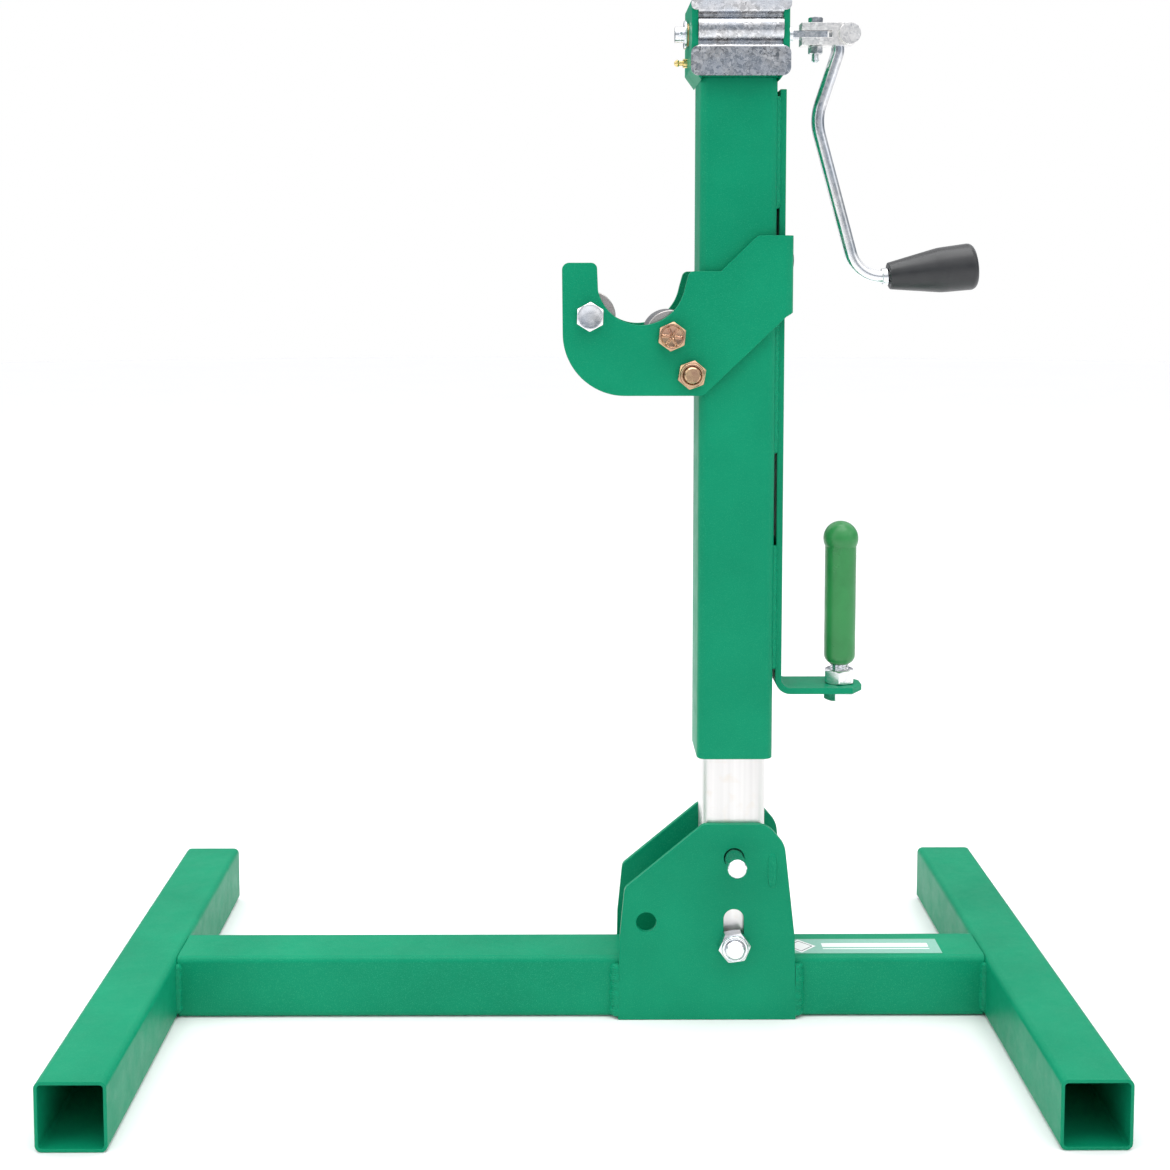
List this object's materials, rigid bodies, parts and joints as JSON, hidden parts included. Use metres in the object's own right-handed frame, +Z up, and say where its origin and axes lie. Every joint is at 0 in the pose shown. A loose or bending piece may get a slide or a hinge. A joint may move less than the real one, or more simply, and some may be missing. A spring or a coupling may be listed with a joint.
{
  "type": "conduit bender stand",
  "caption": "Steel floor stand with an H base and a square telescoping mast, raised by a side crank, with a sliding roller saddle that holds conduit level beside a bender.",
  "frame": {"origin": "on the floor, at the centre of the base's footprint", "axes": "+Z up, +X towards the crank and carry handle, +Y towards the back, away from the nut of the pivot bolt"},
  "size_m": [0.9524, 0.5842, 1.024],
  "materials": {
    "green_paint": "semi-gloss powder coat",
    "bright_zinc": "bright zinc plate",
    "dark_zinc": "dull zinc plate",
    "yellow_zinc": "yellow zinc plate",
    "bare_steel": "oiled steel",
    "bright_tube": "bright satin",
    "roller_steel": "turned, satin",
    "bronze": "sintered, oiled",
    "brass": "polished",
    "black_plastic": "satin moulded",
    "green_plastic": "satin moulded",
    "label": "printed film"
  },
  "bodies": {
    "root": {"left_foot": "green_paint", "right_foot": "green_paint", "crossbar": "green_paint", "foot_welds": "green_paint", "label_plate": "label", "front_ear": "green_paint", "rear_ear": "green_paint", "ear_welds": "green_paint", "mast_stop_bar": "green_paint", "pivot_bolt": "bright_zinc", "pivot_nut": "bright_zinc", "inner_tube": "bright_tube", "lift_nut": "bronze"},
    "lock_pin": {"lock_pin": "bright_zinc", "lock_pin_handle": "bright_zinc"},
    "mast": {"outer_tube": "green_paint", "left_cheek": "green_paint", "right_cheek": "green_paint", "left_bushing": "bronze", "right_bushing": "bronze", "bearing_plate": "green_paint", "thrust_bearing": "bare_steel", "head_back": "green_paint", "head_cover": "bright_zinc", "grease_fitting": "brass", "strap": "green_paint", "strap_welds": "green_paint", "handle_bolt": "bright_zinc", "handle_nut": "bright_zinc", "handle_grip": "green_plastic"},
    "crank": {"crank_shaft": "bright_zinc", "pinion": "bare_steel", "shaft_washer": "bright_zinc", "cotter_pin": "bright_zinc", "crank_yoke": "bright_zinc", "clamp_bolt": "bright_zinc", "clamp_nut": "bright_zinc", "crank_rod": "bright_zinc", "grip_spindle": "bright_zinc"},
    "crank_grip": {"crank_grip": "black_plastic"},
    "screw": {"lift_screw": "bare_steel", "screw_gear": "bare_steel"},
    "cradle": {"cradle_plate": "green_paint", "spine_bolt": "dark_zinc", "left_roller_bolt": "bright_zinc", "left_roller_nut": "bright_zinc", "right_roller_bolt": "yellow_zinc", "right_roller_nut": "yellow_zinc", "lock_bolt": "yellow_zinc", "lock_bolt_nut": "yellow_zinc"},
    "left_roller": {"left_roller": "roller_steel"},
    "right_roller": {"right_roller": "roller_steel"}
  },
  "joints": [
    {"name": "lift", "type": "slide", "parent": "root", "child": "mast", "axis": [0, 0, 1], "range_m": [-0.0636, 0.3176]},
    {"name": "crank_turn", "type": "hinge", "parent": "mast", "child": "crank", "pos_m": [0.155, 0, 0.996], "axis": [-1, 0, 0], "range_deg": [-3600, 18000]},
    {"name": "screw_turn", "type": "hinge", "parent": "mast", "child": "screw", "pos_m": [0.155, 0, 0.7], "axis": [0, 0, 1], "range_deg": [-3601, 18001]},
    {"name": "crank_grip_spin", "type": "hinge", "parent": "crank", "child": "crank_grip", "pos_m": [0.3036, 0, 0.7557], "axis": [0.9934, 0, 0.1149], "continuous": true},
    {"name": "lock_pin_pull", "type": "slide", "parent": "root", "child": "lock_pin", "axis": [0, 1, 0], "range_m": [0, 0.115]},
    {"name": "cradle_slide", "type": "slide", "parent": "mast", "child": "cradle", "axis": [0, 0, 1], "range_m": [-0.33, 0.135]},
    {"name": "left_roller_spin", "type": "hinge", "parent": "cradle", "child": "left_roller", "pos_m": [0.0088, 0, 0.717], "axis": [0, 1, 0], "continuous": true},
    {"name": "right_roller_spin", "type": "hinge", "parent": "cradle", "child": "right_roller", "pos_m": [0.089, 0, 0.6977], "axis": [0, 1, 0], "continuous": true}
  ],
  "couplings": [
    {"joint": "lift", "follows": "crank_turn", "m_per_rad": 0.0010106},
    {"joint": "screw_turn", "follows": "crank_turn", "ratio": 1}
  ]
}
